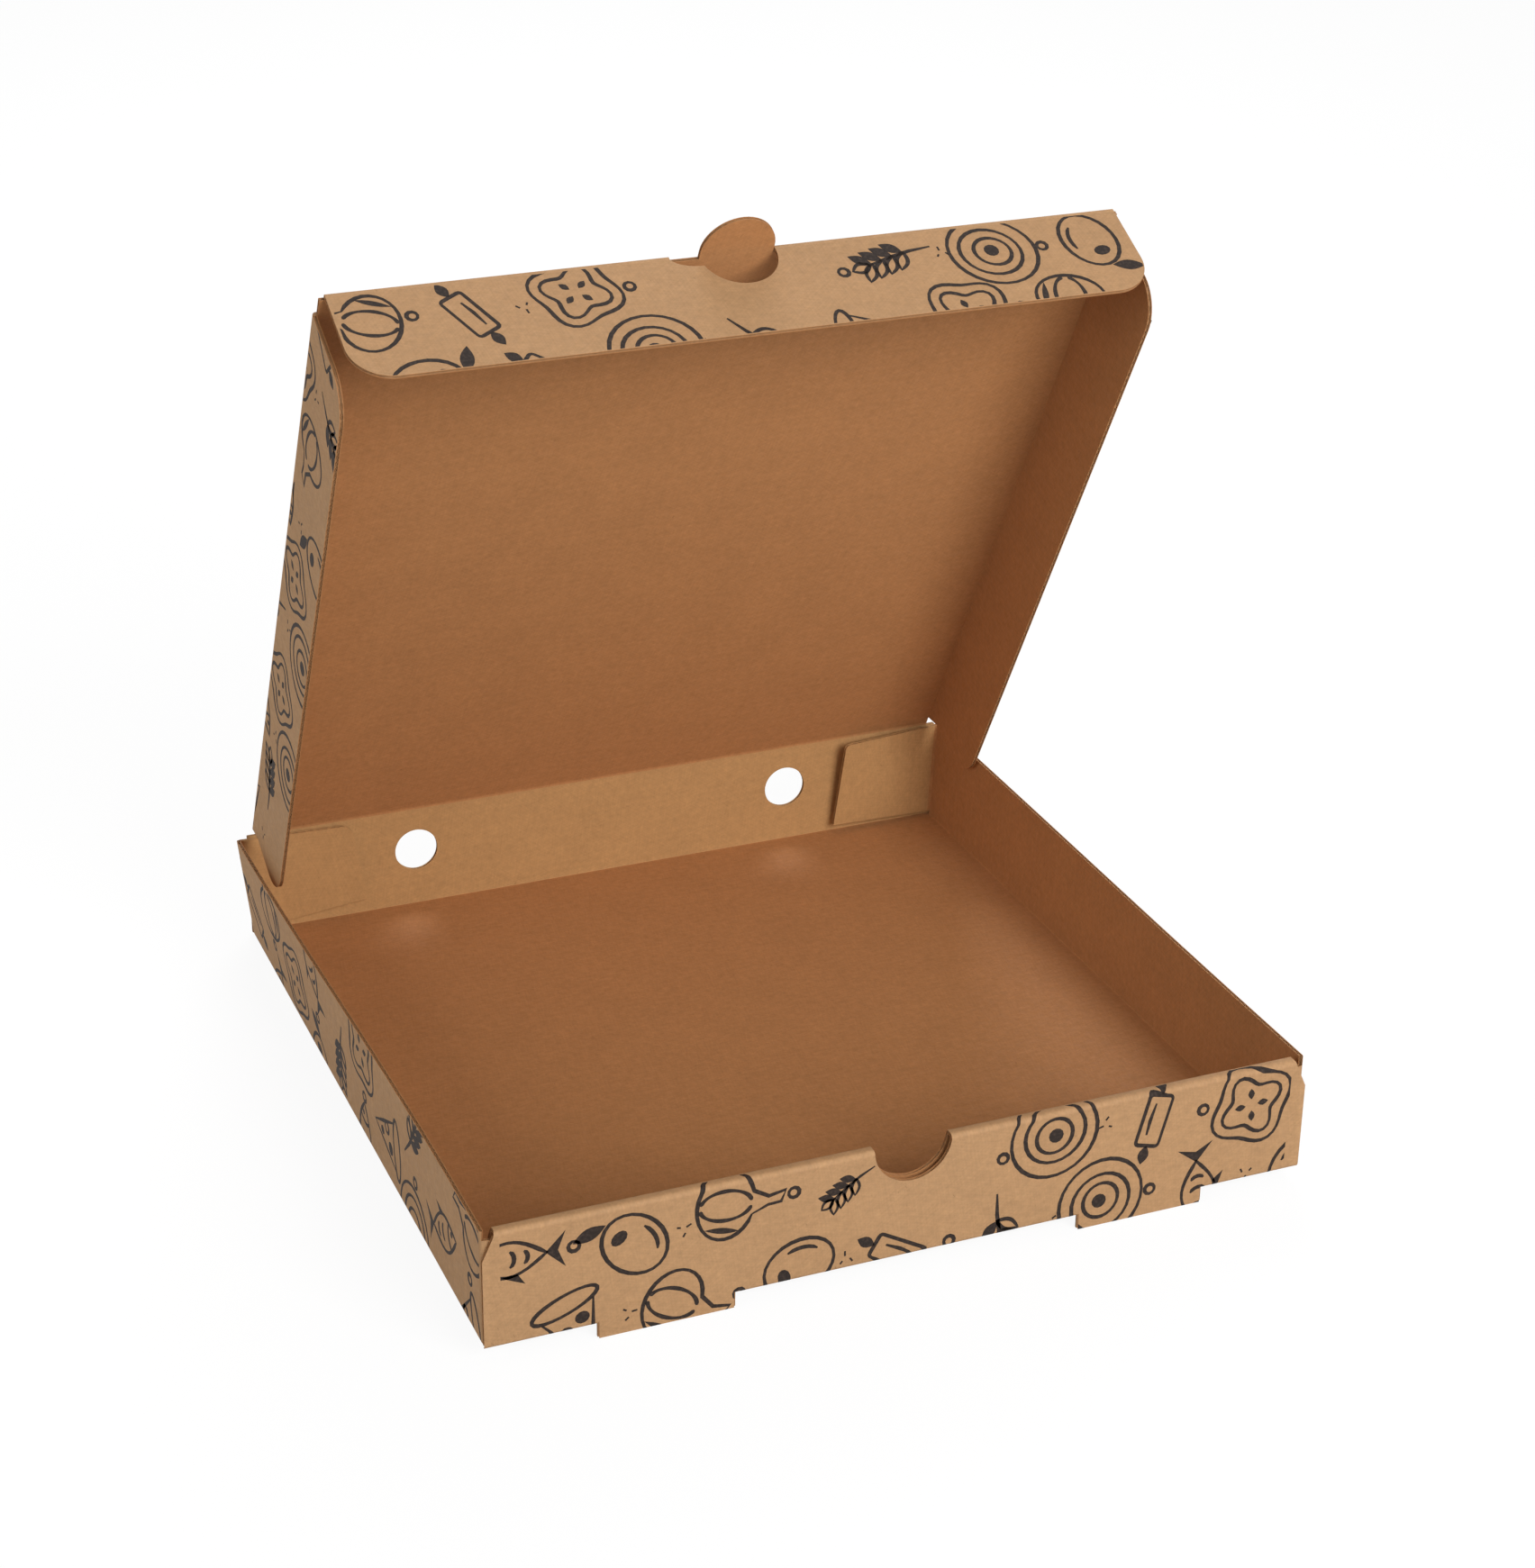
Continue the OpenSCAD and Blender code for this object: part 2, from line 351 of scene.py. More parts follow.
foot_x, foot_w, foot_rise = 0.096, 0.052, 0.0022
foot_root = floor_y + crease_w + foot_rise
slot_end = half_d - front_t - tab_play
tab_half = foot_w / 2 - tab_play
corner_cut_w, corner_cut_h = 0.005, 0.011
corner_flap_play = 0.002
corner_flap_low = board_t + corner_flap_play
front_flap_high = wall_h - board_t - corner_flap_play
front_flap_l, front_flap_taper = 0.060, 0.003
rear_flap_high, rear_flap_top, rear_flap_bottom = 0.0478, 0.051, 0.053
rear_tip_r = {-1: 0.006, 1: 0.0025}

# A leaning wall lifts its rear flap's tip, so the tip is cut lower and stays under the shut lid.
wall_lean = {-1: math.radians(6.5), 1: math.radians(3.0)}
rear_flap_tip = {side: (rear_flap_high - rear_flap_top * math.sin(lean)) / math.cos(lean)
                 for side, lean in wall_lean.items()}


def half_blank(side):
    """One half of the blank's outline, from the front wall's locking tab round to the back wall's top."""
    cut_x = half_w - corner_cut_w
    front_end = flap_start + front_flap_l
    tip_r = rear_tip_r[side]
    half = [
        (foot_x - tab_half, -inner_end),
        (foot_x - tab_half, -tab_end),
        (foot_x + tab_half, -tab_end),
        (foot_x + tab_half, -inner_end),
        (inner_half, -inner_end),
        (inner_half, -inner_fold - crease_w - corner_cut_h),
        (cut_x, -inner_fold),
        (cut_x, -front_fold - crease_w),
        (half_w, -front_fold - crease_w + corner_cut_h),
        (half_w, -floor_y - crease_w / 2),
        (floor_x, -floor_y),
        (up_side(corner_flap_low), -wall_end),
        (up_side(corner_flap_low + front_flap_taper), -front_end),
        (up_side(front_flap_high - front_flap_taper), -front_end),
        (up_side(front_flap_high), -wall_end),
        (up_side(wall_h), -wall_end),
        (up_side(wall_h), wall_end),
        (up_side(rear_flap_high), wall_end),
        *arc((up_side(rear_flap_tip[side]) - tip_r, flap_start + rear_flap_top - tip_r), tip_r, 0, 90, 6),
        (up_side(corner_flap_low), flap_start + rear_flap_bottom),
        (up_side(corner_flap_low), wall_end),
        (floor_x, floor_y),
        (half_w, floor_y + crease_w / 2),
        (half_w, back_top),
    ]
    return half if side > 0 else [(-x, y) for x, y in reversed(half)]


notch_r, notch_steps = 0.0155, 24
outer_notch_y = -back_top
inner_notch_y = bend_r - inner_fold - crease_w
notch_holes = [(0, y, notch_r) for y in (outer_notch_y, inner_notch_y)]
notch = (arc((0, outer_notch_y), notch_r, 0, 180, notch_steps)
         + arc((0, inner_notch_y), notch_r, 180, 360, notch_steps))

vent_x, vent_z, vent_r, vent_steps = 0.089, 0.028, 0.00975, 48
vent_holes = [(side * vent_x, up_end(vent_z), vent_r) for side in (-1, 1)]
vents = [arc((x, y), r, 0, 360 - 360 / vent_steps, vent_steps - 1) for x, y, r in vent_holes]

slots = [[(side * foot_x - foot_w / 2, -foot_root), (side * foot_x + foot_w / 2, -foot_root),
          (side * foot_x + foot_w / 2, -slot_end), (side * foot_x - foot_w / 2, -slot_end)]
         for side in (-1, 1)]

grid_pitch, grid_reach = 0.012, 22
grid = [k * grid_pitch for k in range(-grid_reach, grid_reach + 1)]
side_lines = crease_lines(floor_x)
lines_x = grid + side_lines + [-x for x in side_lines]
end_lines = crease_lines(floor_y) + crease_lines(flap_fold)
lines_y = (grid + end_lines + [-y for y in end_lines]
           + [-y for y in crease_lines(front_fold) + crease_lines(inner_fold)])

lean_start = -0.75 * half_d
rear_flap_spring = {-1: math.radians(2.0), 1: math.radians(7.0)}
spring_at_floor = 0.45
quarter = math.radians(90)


def lean_at(y, side):
    """The side walls stand upright at the locked front wall and lean out towards the free rear end."""
    share = min(1, max(0, (y - lean_start) / (half_d - lean_start)))
    return quarter - wall_lean[side] * share * share * (3 - 2 * share)


def fold_tray(point):
    """Folds a point of the flat blank into its place in the tray."""
    x, y, depth = point
    side = 1 if x > 0 else -1
    reach = abs(x)
    if abs(y) > floor_y and reach < up_side(corner_flap_low) - liner_t:
        far = abs(y)
        if y < 0:
            far, depth = creased(far, depth, inner_fold, quarter)
            far, depth = creased(far, depth, front_fold, quarter)
        far, depth = creased(far, depth, floor_y, quarter)
        return Vector((x, math.copysign(far, y), depth))
    if reach > floor_x:
        share = spring_at_floor + (1 - spring_at_floor) * (reach - floor_x) / wall_h
        spring = rear_flap_spring[side] * share if y > 0 else 0
        far, depth = creased(abs(y), depth, flap_fold, quarter + spring)
        y = math.copysign(far, y)
        reach, depth = creased(reach, depth, floor_x, lean_at(y, side))
        return Vector((side * reach, y, depth))
    return Vector((x, y, depth))


def fold_foot(point):
    """A foot carries the front wall straight down where the floor is slotted."""
    x, y, depth = point
    return fold_tray((x, -foot_root, depth)) - Vector((0, 0, foot_root + y))


def oval(x, y, rx, ry, start=0, end=360, steps=24):
    """Points along an ellipse, or along a stretch of one."""
    return [(x + rx * across, y + ry * up) for across, up in arc((0, 0), 1, start, end, steps)]


def leaf(a, b, bow, steps=8):
    """A pointed oval from one point to another, as wide as twice its bow."""
    a, b = Vector(a), Vector(b)
    across = Vector((a.y - b.y, b.x - a.x)).normalized() * bow
    there = [a.lerp(b, k / steps) + across * math.sin(math.pi * k / steps) for k in range(steps)]
    back = [b.lerp(a, k / steps) - across * math.sin(math.pi * k / steps) for k in range(steps)]
    return [tuple(p) for p in there + back + [a]]


def lobed(radius, swing, lobes, steps=40):
    """A wavy closed ring."""
    turns = [math.tau * k / steps for k in range(steps + 1)]
    return [((radius + swing * math.cos(lobes * t)) * math.cos(t),
             (radius + swing * math.cos(lobes * t)) * math.sin(t)) for t in turns]


def seed(angle):
    """A pepper's seed, at an angle about the ring's middle."""
    way = Vector((math.cos(angle), math.sin(angle)))
    return leaf(way * 0.14, way * 0.4, 0.08, 4)


# Printed food motifs, each about two units wide and drawn round its middle: pen lines, then solids.
pizza_slice = (
    [[(-0.58, 0.38), (-0.28, -0.33), (0, -1), (0.28, -0.33), (0.58, 0.38)],
     oval(0, 0.55, 0.74, 0.22), oval(0.22, -0.12, 0.14, 0.13, steps=12)],
    [oval(-0.2, 0.07, 0.16, 0.14, steps=12), oval(-0.02, -0.48, 0.11, 0.11, steps=10)])
olive = (
    [oval(0, -0.15, 0.62, 0.78), oval(0, -0.15, 0.42, 0.56, 165, 240, 6)],
    [oval(0.1, 0.22, 0.2, 0.14, steps=12), leaf((0.05, 0.68), (0.75, 0.95), 0.15)])
wheat_ear = (
    [[(0.12, -1), (0.03, -0.5), (0, 0), (0, 0.6)], leaf((0, 0.55), (0, 1), 0.13),
     *[leaf((0, 0.28 * k - 0.35), (0.42, 0.28 * k), 0.12) for k in range(4)]],
    [leaf((0, 0.28 * k - 0.35), (-0.42, 0.28 * k), 0.13) for k in range(4)])
onion_rings = (
    [oval(0, 0, 1, 0.96, steps=28), oval(0.04, -0.03, 0.7, 0.67, steps=24), oval(0, 0, 0.42, 0.4)],
    [oval(0.03, 0.02, 0.17, 0.17, steps=12)])
small_fish = (
    [leaf((-1, 0), (0.6, 0), 0.4, 12), oval(-0.66, 0, 0.2, 0.3, -65, 65, 8),
     oval(-0.2, 0, 0.14, 0.2, -70, 70, 6), oval(0.1, 0, 0.12, 0.16, -70, 70, 6)],
    [[(0.58, 0), (1, 0.42), (0.84, 0)], [(0.58, 0), (0.84, 0), (1, -0.42)],
     oval(-0.7, 0.08, 0.07, 0.07, steps=8), [(-0.35, 0.38), (0.0, 0.36), (0.16, 0.62)]])
garlic_neck = [(0.1, 0.62), (0.2, 0.98), (-0.06, 0.9), (-0.1, 0.62), (-0.27, 0.28)]
garlic_bulb = (
    [oval(0, -0.3, 0.78, 0.62, 110, 430) + garlic_neck,
     oval(0, -0.3, 0.34, 0.56, 100, 260), oval(0, -0.3, 0.34, 0.56, 80, -80)],
    [leaf((-0.52, -0.72), (-0.62, 0.05), 0.07)])
pepper_ring = (
    [lobed(0.9, 0.1, 4), lobed(0.62, 0.13, 4)],
    [seed(angle) for angle in (0.4, 1.97, 3.54, 5.11)])
roller = [
    *oval(0.52, 0.2, 0.08, 0.08, 90, 0, 3), *oval(0.52, -0.2, 0.08, 0.08, 0, -90, 3),
    *oval(-0.52, -0.2, 0.08, 0.08, 270, 180, 3), *oval(-0.52, 0.2, 0.08, 0.08, 180, 90, 3), (0.52, 0.28)]
rolling_pin = (
    [roller, [(-0.4, 0.08), (0, 0.1), (0.35, 0.08)]],
    [leaf((0.6, 0), (1.05, 0), 0.13, 6), leaf((-0.6, 0), (-1.05, 0), 0.13, 6)])
motifs = [pizza_slice, olive, wheat_ear, onion_rings, small_fish, garlic_bulb, pepper_ring, rolling_pin]
small_ring = ([oval(0, 0, 0.7, 0.7, steps=10)], [])
crumbs = ([[(-0.9, -0.2), (-0.2, 0)], [(0.3, 0.5), (0.6, 0.9)], [(0.4, -0.5), (1, -0.7)]], [])
fillers = [small_ring, crumbs]

pen_w, pen_swell, swell_step, pen_taper = 0.0015, 0.18, 0.6, 0.5
motif_r, filler_r = 0.018, 0.003
column_pitch, row_pitch = 0.042, 0.033
first_column, first_row, row_stagger = 0.15, 0.42, 0.5
row_sway, sway_step, turn_step = 0.003, 2.1, 2.4
hole_margin, least_share = 0.001, 0.55


def pen_line(layer, points, width):
    """One printed line through the points, swelling a little, with tapered ends unless it closes."""
    closed = (Vector(points[0]) - Vector(points[-1])).length < 1e-9
    points = [Vector((x, y, -ink_lift)) for x, y in points[:len(points) - closed]]
    rails = []
    for k, point in enumerate(points):
        before = points[k - 1] if closed or k else point
        after = points[(k + 1) % len(points)] if closed or k + 1 < len(points) else point
        run = (after - before).normalized()
        half = width / 2 * (1 + pen_swell * math.sin(swell_step * k))
        if not closed and k in (0, len(points) - 1):
            half *= pen_taper
        side = Vector((-run.y, run.x, 0)) * half
        rails.append((layer.verts.new(point + side), layer.verts.new(point - side)))
    for (a, b), (c, d) in zip(rails, rails[1:] + rails[:1] * closed):
        layer.faces.new((a, c, d, b))


def draw_motif(layer, motif, x, y, radius, turn, holes):
    """Draws a motif turned about its middle, smaller beside a hole and not at all where it lacks room."""
    lines, solids = motif
    room = min([radius] + [math.hypot(x - hx, y - hy) - hr - hole_margin for hx, hy, hr in holes])
    if room < radius * least_share:
        return
    placed = Matrix.LocRotScale((x, y, 0), Matrix.Rotation(turn, 3, "Z"), (room, room, room))
    for points in lines:
        pen_line(layer, [(placed @ Vector((*p, 0))).xy for p in points], pen_w * room / radius)
    for points in solids:
        corners = [placed @ Vector((*p, -ink_lift / room)) for p in reversed(points)]
        layer.faces.new([layer.verts.new(corner) for corner in corners])


def trim(layer, x0, x1, y0, y1):
    """Cuts off what lies outside a rectangle of the blank."""
    for limit, outward in (((x0, 0, 0), (-1, 0, 0)), ((x1, 0, 0), (1, 0, 0)),
                           ((0, y0, 0), (0, -1, 0)), ((0, y1, 0), (0, 1, 0))):
        cut_across(layer, limit, outward, clear_outer=True)


def print_panel(x0, x1, y0, y1, first, holes=()):
    """A panel's print: motifs in staggered rows, clear of its holes and cut off at its edges."""
    layer = bmesh.new()
    numbers = itertools.count(first)
    chance = random.Random(first)
    bag = []
    for row in range(int((y1 - y0) / row_pitch) + 2):
        for column in range(int((x1 - x0) / column_pitch) + 2):
            number = next(numbers)
            bag = bag or chance.sample(motifs, len(motifs))
            x = x0 + column_pitch * (column + first_column + row_stagger * (row % 2))
            y = y0 + row_pitch * (row + first_row) + row_sway * math.sin(sway_step * number)
            turn = turn_step * number
            draw_motif(layer, bag.pop(), x, y, motif_r, turn, holes)
            draw_motif(layer, fillers[number % 2], x + column_pitch / 2, y, filler_r, turn, holes)
    trim(layer, x0, x1, y0, y1)
    layer.normal_update()
    bmesh.ops.reverse_faces(layer, faces=[f for f in layer.faces if f.normal.z > 0])
    return layer


def ink_film(layer, place):
    """Gives a flat layer of print its thickness and puts it where the folded board is."""
    bmesh.ops.dissolve_degenerate(layer, dist=1e-5, edges=layer.edges[:])
    bmesh.ops.delete(layer, geom=[v for v in layer.verts if not v.link_faces], context="VERTS")
    bmesh.ops.solidify(layer, geom=layer.faces[:], thickness=ink_t)
    note_blank(layer)
    return lay(layer, place)


# The tray's print: front wall and feet, then back wall and side walls, each kept off its cut edges.
corner_margin, side_margin, back_margin, wall_margin = 0.0015, 0.001, 0.0002, 0.0003
front_print_half = half_w - corner_cut_w - corner_margin
root_z = fold_tray((foot_x, -foot_root, 0)).z
foot_tip = foot_root - root_z + foot_low
tray_print = print_panel(-front_print_half, front_print_half, -inner_fold, -foot_tip,
                         first=0, holes=notch_holes)
foot_prints = []
for side in (-1, 1):
    foot_prints.append(tray_print.copy())
    trim(foot_prints[-1], side * foot_x - foot_w / 2, side * foot_x + foot_w / 2, -foot_root, -foot_tip)
trim(tray_print, -half_w, half_w, -inner_fold, -floor_y - crease_w / 2)
add_to(tray_print, print_panel(side_margin - half_w, half_w - side_margin,
                               floor_y + crease_w, back_top - back_margin,
                               first=5, holes=vent_holes))
for side in (-1, 1):
    edges = sorted((side * (floor_x + crease_w), side * (up_side(wall_h) - wall_margin)))
    add_to(tray_print, print_panel(*edges, -flap_fold, flap_fold, first=9 + side))
divide(tray_print, lines_x + [x for slot in slots for x, y in slot[:2]], lines_y + [-foot_root])
over_slots = [f for f in tray_print.faces if -foot_root < f.calc_center_median().y < 0
              and abs(abs(f.calc_center_median().x) - foot_x) < foot_w / 2]
bmesh.ops.delete(tray_print, geom=over_slots, context="FACES")
ink_film(tray_print, fold_tray)
for foot_print in foot_prints:
    add_to(tray_print, ink_film(foot_print, fold_foot))

# The tray's board: its creases are marked as worn, and the back wall and rear flaps get a paler, yellower
# copy of the inside liner, painted light for the stronger light that falls on them.
tray = make_board(cut_sheet([half_blank(1) + half_blank(-1), notch, *vents, *slots], lines_x, lines_y))
worn = tray.verts.layers.float.new("fold")
for v in tray.verts:
    x, y = abs(v.co.x), abs(v.co.y)
    starts = [floor_y] + ([front_fold, inner_fold] if v.co.y < 0 else [])
    in_end_crease = any(start < y < start + crease_w for start in starts)
    v[worn] = 1.0 if in_end_crease or floor_x < x < floor_x + crease_w else 0.0
for face in tray.faces:
    # Painted light: the back wall's inside faces and the rear flaps take the paler copy of the inside liner.
    if face.material_index == INSIDE and face.calc_center_median().y > floor_y + crease_w / 2:
        face.material_index = INSIDE_PAINTED_LIT
lay(tray, fold_tray)
bmesh.ops.dissolve_degenerate(tray, dist=1e-6, edges=tray.edges[:])
tray.normal_update()

# The feet: the front wall's cut edge over each slot is drawn down to where the foot ends.
for side in (-1, 1):
    cut = []
    for face in tray.faces:
        centre = face.calc_center_median()
        over_slot = abs(centre.x - side * foot_x) < foot_w / 2 and centre.y < board_t - half_d
        if over_slot and face.normal.z < -0.9 and abs(centre.z - root_z) < board_t:
            cut.append(face)
    grown = bmesh.ops.extrude_face_region(tray, geom=cut)["geom"]
    foot = [v for v in grown if isinstance(v, bmesh.types.BMVert)]
    bmesh.ops.delete(tray, geom=cut, context="FACES")
    drop = foot_low - min(v.co.z for v in foot)
    bmesh.ops.translate(tray, verts=foot, vec=(0, 0, drop))
    for loop in [loop for v in foot for loop in v.link_loops]:
        loop[tray.loops.layers.uv["blank"]].uv.y -= drop
finish_piece("tray_board", tray, board_finishes, "tray", "tray")
finish_piece("tray_print", tray_print, print_finish, "tray")

# Lid panel: the top of the same sheet, hinged on the back wall's scored top edge. The round thumb tab
# is cut out of the front flap, so it stays in the lid's plane when that flap is folded down.
joints = {joint["name"]: joint for joint in frame["joints"]}
hinge = joints["lid_hinge"]
hinge_at = Vector(hinge["pos_m"])
lid_open = math.radians(-hinge["range_deg"][0])
raised = Matrix.Translation(hinge_at) @ Matrix.Rotation(-lid_open, 4, "X")
front_crease = (Vector(joints["front_flap_hinge"]["pos_m"]) - hinge_at).length
side_crease_x = joints["right_flap_hinge"]["pos_m"][0]
lid_half_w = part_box("lid_panel")[1].x
crease_gap = hinge_at.z - wall_h
lid_start = back_top + 2 * crease_gap
lid_end = front_crease - crease_gap
thumb_r, thumb_straight, thumb_steps = 0.015, 0.002, 24

lid_outline = [
    (-lid_half_w, crease_gap),
    (lid_half_w, crease_gap),
    (lid_half_w, lid_end),
    (thumb_r, lid_end),
    *arc((0, front_crease + thumb_straight), thumb_r, 0, 180, thumb_steps),
    (-thumb_r, lid_end),
    (-lid_half_w, lid_end)]


def on_lid(point):
    """Where a point of the flat blank lies on the raised lid."""
    return raised @ Vector((point.x, lid_start - point.y, board_t / 2 - point.z))


lid = lay(make_board(cut_sheet([[(x, lid_start + v) for x, v in lid_outline]])), on_lid)
finish_piece("lid_panel_board", lid, board_finishes, "lid_panel", "lid_panel")
lid_print = print_panel(side_margin - lid_half_w, lid_half_w - side_margin,
                        lid_start + crease_gap, lid_start + lid_end, first=2)
finish_piece("lid_panel_print", ink_film(lid_print, on_lid), print_finish, "lid_panel")

# Lid front flap: folded down from the lid's front crease to tuck inside the front wall. Its die cut
# leaves the thumb tab on the lid and runs on a little way to the left along the crease.
tuck_floor_gap, tuck_r = 0.006, 0.016
tuck_depth = hinge_at.z - tuck_floor_gap
front_setback, cut_gap = 0.002, 0.0004
front_half = lid_half_w - front_setback
cut_r = thumb_r + cut_gap
cut_run, cut_run_d, cut_run_steps = 0.012, 0.006, 10
run_start = math.degrees(math.asin(crease_gap / cut_run_d))
cut_meets = math.degrees(math.asin((cut_run_d - thumb_straight) / cut_r))
run_on = arc((0, 0), 1, 180 - run_start, 90, cut_run_steps)
front_outline = [
    (-front_half, crease_gap),
    *[(-thumb_r + x * cut_run, y * cut_run_d) for x, y in run_on],
    *arc((0, thumb_straight), cut_r, 180 - cut_meets, 0, thumb_steps),
    (cut_r, crease_gap),
    (front_half, crease_gap),
    *arc((front_half - tuck_r, tuck_depth - tuck_r), tuck_r, 0, 90),
    *arc((tuck_r - front_half, tuck_depth - tuck_r), tuck_r, 90, 180)]
front_start = lid_start + front_crease
edge_margin, corner_clear_r, run_clear_r = 0.0004, 0.009, 0.008
front_holes = [
    (0, front_start + thumb_straight, cut_r),
    (-thumb_r - cut_run / 2, front_start, run_clear_r),
    *[(side * front_half, front_start + tuck_depth, corner_clear_r) for side in (-1, 1)]]


def on_front_flap(point):
    """Where a point of the flat blank lies on the folded front flap."""
    return raised @ Vector((point.x, point.z - front_crease - board_t / 2, front_start - point.y))


front_flap = lay(make_board(cut_sheet([[(x, front_start + v) for x, v in front_outline]])), on_front_flap)
finish_piece("lid_front_flap_board", front_flap, board_finishes,
             "lid_front_flap", "lid_front_flap")
front_print = print_panel(
    side_margin - front_half, front_half - side_margin,
    front_start + crease_gap, front_start + tuck_depth - edge_margin, first=6, holes=front_holes)
finish_piece("lid_front_flap_print", ink_film(front_print, on_front_flap), print_finish,
             "lid_front_flap")

# Lid side flaps: folded down from the lid's side creases to slide inside the side walls. The flutes
# run across them, so their free edges show the open wave of the board's middle paper.
flap_setback = 0.008
flap_lead = side_crease_x - lid_half_w
flap_depth = tuck_depth - board_t / 2
flap_near, flap_far = flap_setback, front_crease - flap_setback
side_outline = [
    (flap_lead, flap_far),
    (flap_lead, flap_near / 2),
    (flap_near, flap_near),
    *arc((flap_depth - tuck_r, flap_near + tuck_r), tuck_r, -90, 0),
    *arc((flap_depth - tuck_r, flap_far - tuck_r), tuck_r, 0, 90)]


def on_side_flap(side):
    """The rule for where a point of the flat blank lies on one side's folded flap."""
    def place(point):
        across = side * (side_crease_x + board_t - point.z)
        return raised @ Vector((across, lid_start - point.y, side_crease_x - board_t / 2 - side * point.x))
    return place


for side, name in ((-1, "lid_left_flap"), (1, "lid_right_flap")):
    on_flap = on_side_flap(side)
    blank_outline = [(side * (side_crease_x + d), lid_start + v) for d, v in side_outline]
    flap = lay(make_board(cut_sheet([blank_outline])), on_flap)
    finish_piece(name + "_board", flap, board_finishes, name, name)
    edges = sorted(side * (side_crease_x + d) for d in (flap_lead, flap_depth - edge_margin))
    free_edge = side * (side_crease_x + flap_depth)
    corner_holes = [(free_edge, lid_start + v, corner_clear_r) for v in (flap_near, flap_far)]
    flap_print = print_panel(*edges, lid_start + flap_near + edge_margin,
                             lid_start + flap_far - edge_margin, first=12 + side, holes=corner_holes)
    finish_piece(name + "_print", ink_film(flap_print, on_flap), print_finish, name)

# Creases: scored lines where the lid and its flaps bend, the outer liner stretched round the fold and rubbed
# pale, the inner liner pressed in. Each one is built bent to the raised lid and stays where it is built.
strip_steps = 8
from_back_wall = Matrix(((1, 0, 0, 0), (0, 0, 1, 0), (0, 1, 0, 0), (0, 0, 0, 1)))
from_lid_front = Matrix(((1, 0, 0, 0), (0, -1, 0, -front_crease), (0, 0, 1, 0), (0, 0, 0, 1)))
from_lid_side = {
    side: Matrix((
        (0, side, 0, side * side_crease_x),
        (-1, 0, 0, 0),
        (0, 0, 1, -board_t / 2),
        (0, 0, 0, 1)))
    for side in (-1, 1)}


def crease_strip(name, place, bend, spans, outer, inner, lead):
    """A bent strip of board that leads from one panel to the next, with one length for each span.

    In its place, X runs along the crease, Y is the first panel's way and Z its outside.
    """
    turn = Vector((math.cos(bend), -math.sin(bend)))
    facing = Vector((math.sin(bend), math.cos(bend)))
    angles = [bend * k / strip_steps for k in range(strip_steps + 1)]
    rounded = [(outer * math.sin(angle), outer * math.cos(angle)) for angle in angles]
    section = [
        (-lead, outer), *rounded, turn * lead + facing * outer, turn * lead - facing * inner,
        (-inner * math.tan(bend / 2), -inner), (-lead, -inner)]
    middle = Vector((math.sin(bend / 2), math.cos(bend / 2)))
    strip = bmesh.new()
    for start, end in spans:
        ring = [strip.verts.new((start, p, q)) for p, q in section]
        cap = strip.faces.new(ring)
        grown = bmesh.ops.extrude_face_region(strip, geom=[cap], use_keep_orig=True)["geom"]
        moved = [v for v in grown if isinstance(v, bmesh.types.BMVert)]
        bmesh.ops.translate(strip, verts=moved, vec=(end - start, 0, 0))
    bmesh.ops.remove_doubles(strip, verts=strip.verts[:], dist=1e-6)
    strip.normal_update()
    blank = strip.loops.layers.uv.new("blank")
    worn = strip.verts.layers.float.new("fold")
    for face in strip.faces:
        outside = face.calc_center_median().yz.dot(middle) > (outer - inner) / 2
        face.material_index = OUTSIDE if outside else INSIDE
        if abs(face.normal.x) > 0.5:
            face.material_index = FLUTING
        for loop in face.loops:
            loop[blank].uv = (loop.vert.co.x, lid_start + loop.vert.co.y - loop.vert.co.z)
    for v in strip.verts:
        v[worn] = 1.0
        v.co = place @ v.co
    strip.normal_update()
    bmesh.ops.recalc_face_normals(strip, faces=strip.faces[:])
    piece = finish_piece(name, strip, board_finishes, None)
    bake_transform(piece)


crease_strip("lid_crease", Matrix.Translation(hinge_at) @ from_back_wall,
             quarter - lid_open, [(-lid_half_w, lid_half_w)], board_t / 2, board_t / 2, crease_gap)
crease_strip("front_flap_crease", raised @ from_lid_front, quarter,
             [(-front_half, -thumb_r - cut_run), (cut_r, front_half)], board_t / 2, board_t / 2, crease_gap)
for side, name in ((-1, "left_flap"), (1, "right_flap")):
    crease_strip(name + "_crease", raised @ from_lid_side[side], quarter,
                 [(flap_near / 2, flap_far)], board_t, 0.0, flap_lead)

# Camera: a long lens 1.2 m away, to the left of the front and 24 degrees above the level of the floor.
# The shift puts the box where the photograph's frame has it.
image_w, image_h = 1704, 1741
view_turn, view_rise, view_distance = math.radians(-21.05), math.radians(24.02), 1.2225
view_target = Vector((-0.03387, 0.00031, 0.16612))
focal_px, centre_px = 3488.3, (736.5, 763.0)
camera_data = bpy.data.cameras.new("camera")
camera_data.sensor_width = 36
camera_data.lens = focal_px / image_h * camera_data.sensor_width
camera_data.shift_x = (image_w / 2 - centre_px[0]) / image_h
camera_data.shift_y = (centre_px[1] - image_h / 2) / image_h
camera = bpy.data.objects.new("camera", camera_data)
back = Vector((math.sin(view_turn) * math.cos(view_rise), -math.cos(view_turn) * math.cos(view_rise),
               math.sin(view_rise)))
camera.location = view_target + back * view_distance
camera.rotation_mode = "QUATERNION"
camera.rotation_quaternion = (-back).to_track_quat("-Z", "Y")
bpy.context.scene.collection.objects.link(camera)
bpy.context.scene.camera = camera

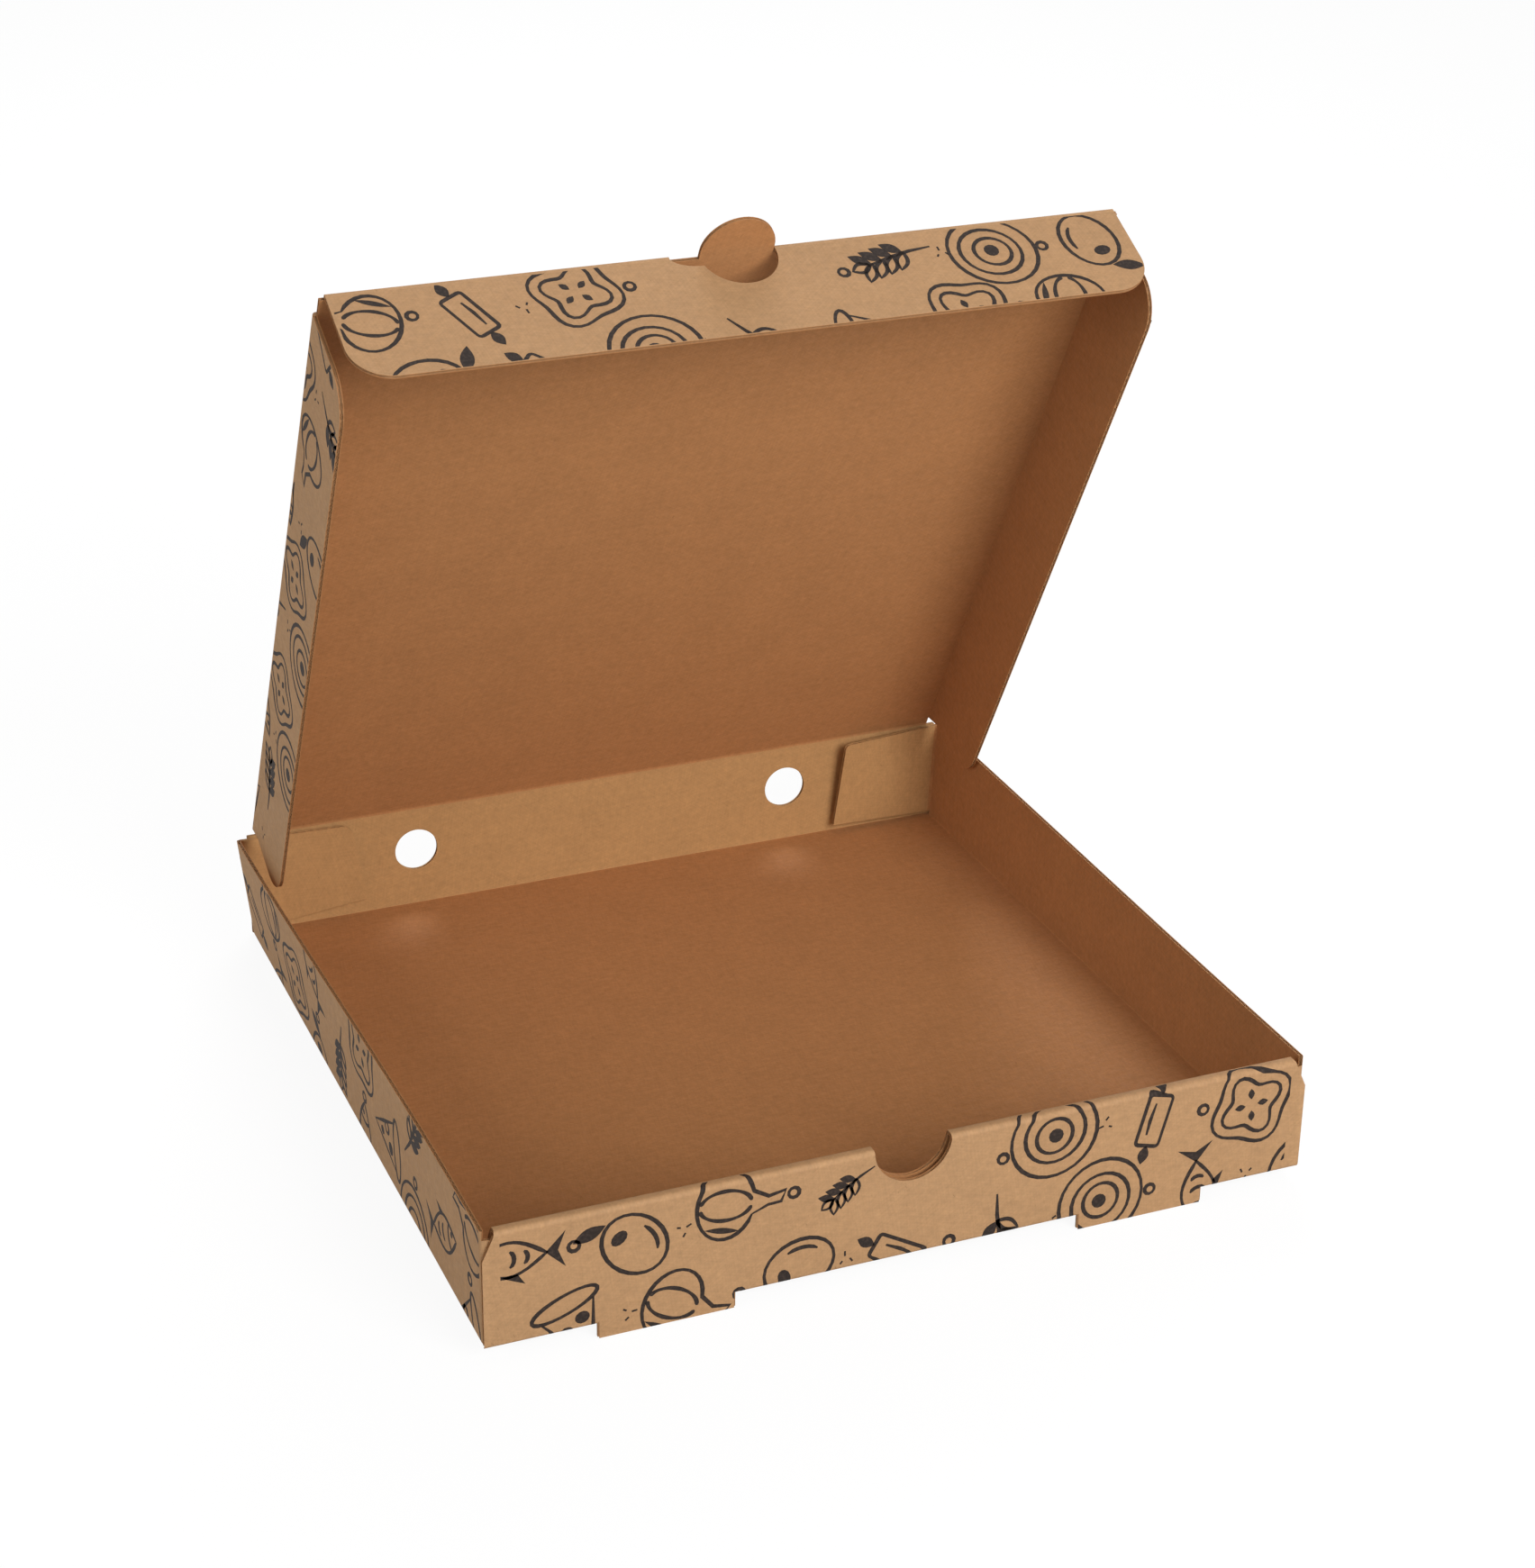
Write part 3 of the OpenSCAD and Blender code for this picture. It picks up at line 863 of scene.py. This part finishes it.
# Studio: a plain pale floor, tilted a little, as the box stands on its two feet and its rear edge.
# Three softboxes light it, the strongest from the front. The floor shows as white paper with the
# box's shadow, and the sky behind it as a pale grey.
floor_half, floor_gap = 6, 0.0002
floor_tilt = Matrix.Rotation(math.atan2(-foot_low, 2 * half_d), 3, "X")
floor_grey, floor_roughness = (0.45, 0.45, 0.45, 1), 0.9
paper_strength, paper_share = 1.15, 0.8
sky_level, sky_top = 0.36, 0.06
sky_white, sky_grey = (1, 1, 1, 1), (0.8, 0.8, 0.8, 1)
floor = bpy.data.meshes.new("studio_floor")
plane = bmesh.new()
bmesh.ops.create_grid(plane, x_segments=1, y_segments=1, size=floor_half)
bmesh.ops.rotate(plane, verts=plane.verts[:], matrix=floor_tilt)
bmesh.ops.translate(plane, verts=plane.verts[:], vec=(0, 0, foot_low / 2 - floor_gap))
plane.to_mesh(floor)
plane.free()
floor_piece = bpy.data.objects.new("studio_floor", floor)
bpy.context.scene.collection.objects.link(floor_piece)


def show_backdrop(tree, lit, backdrop, surface, share):
    """Camera, glossy and transmitted rays see that share of the backdrop; others see what lights the box."""
    path = add_node(tree, "ShaderNodeLightPath")
    seen = path.outputs["Is Camera Ray"]
    for ray in ("Is Glossy Ray", "Is Transmission Ray"):
        either = add_node(tree, "ShaderNodeMath", {0: seen, 1: path.outputs[ray]}, operation="MAXIMUM")
        seen = either.outputs["Value"]
    part = add_node(tree, "ShaderNodeMath", {0: seen, 1: share}, operation="MULTIPLY")
    mix = add_node(tree, "ShaderNodeMixShader", {"Fac": part.outputs["Value"], 1: lit, 2: backdrop})
    tree.links.new(mix.outputs["Shader"], surface)


floor_paint = bpy.data.materials.new("studio_floor")
floor_paint.use_nodes = True
floor_tree = floor_paint.node_tree
floor_coat = floor_tree.nodes["Principled BSDF"]
floor_coat.inputs["Base Color"].default_value = floor_grey
floor_coat.inputs["Roughness"].default_value = floor_roughness
paper_white = add_node(floor_tree, "ShaderNodeEmission", {"Strength": paper_strength})
show_backdrop(floor_tree, floor_coat.outputs["BSDF"], paper_white.outputs["Emission"],
              floor_tree.nodes["Material Output"].inputs["Surface"], paper_share)
floor.materials.append(floor_paint)

world = bpy.data.worlds.new("studio")
world.use_nodes = True
bpy.context.scene.world = world
sky_tree = world.node_tree
way = add_node(sky_tree, "ShaderNodeTexCoord")
height = add_node(sky_tree, "ShaderNodeSeparateXYZ", {"Vector": way.outputs["Generated"]})
dimmer = add_node(sky_tree, "ShaderNodeMapRange",
                  {"Value": height.outputs["Z"], "To Min": sky_level, "To Max": sky_top})
soft_sky = sky_tree.nodes["Background"]
soft_sky.inputs["Color"].default_value = sky_white
sky_tree.links.new(dimmer.outputs["Result"], soft_sky.inputs["Strength"])
pale_sky = add_node(sky_tree, "ShaderNodeBackground", {"Color": sky_grey, "Strength": 1.0})
show_backdrop(sky_tree, soft_sky.outputs["Background"], pale_sky.outputs["Background"],
              sky_tree.nodes["World Output"].inputs["Surface"], 1.0)


def soft_lamp(name, place, aim, size, power):
    """A square softbox that faces a point."""
    lamp = bpy.data.lights.new(name, "AREA")
    lamp.size = size
    lamp.energy = power
    holder = bpy.data.objects.new(name, lamp)
    holder.location = place
    holder.rotation_mode = "QUATERNION"
    holder.rotation_quaternion = (Vector(aim) - Vector(place)).to_track_quat("-Z", "Y")
    bpy.context.scene.collection.objects.link(holder)


soft_lamp("key_softbox", place=(0.50, -1.70, 1.04), aim=(0, 0, 0.1), size=1.1, power=34.5)
soft_lamp("left_softbox", place=(-1.62, -0.50, 0.85), aim=(0, 0, 0.05), size=1.0, power=9.5)
soft_lamp("back_softbox", place=(0.5, 1.4, 1.6), aim=(0, 0.1, 0.05), size=1.1, power=22)
bpy.context.scene.view_settings.view_transform = "Standard"
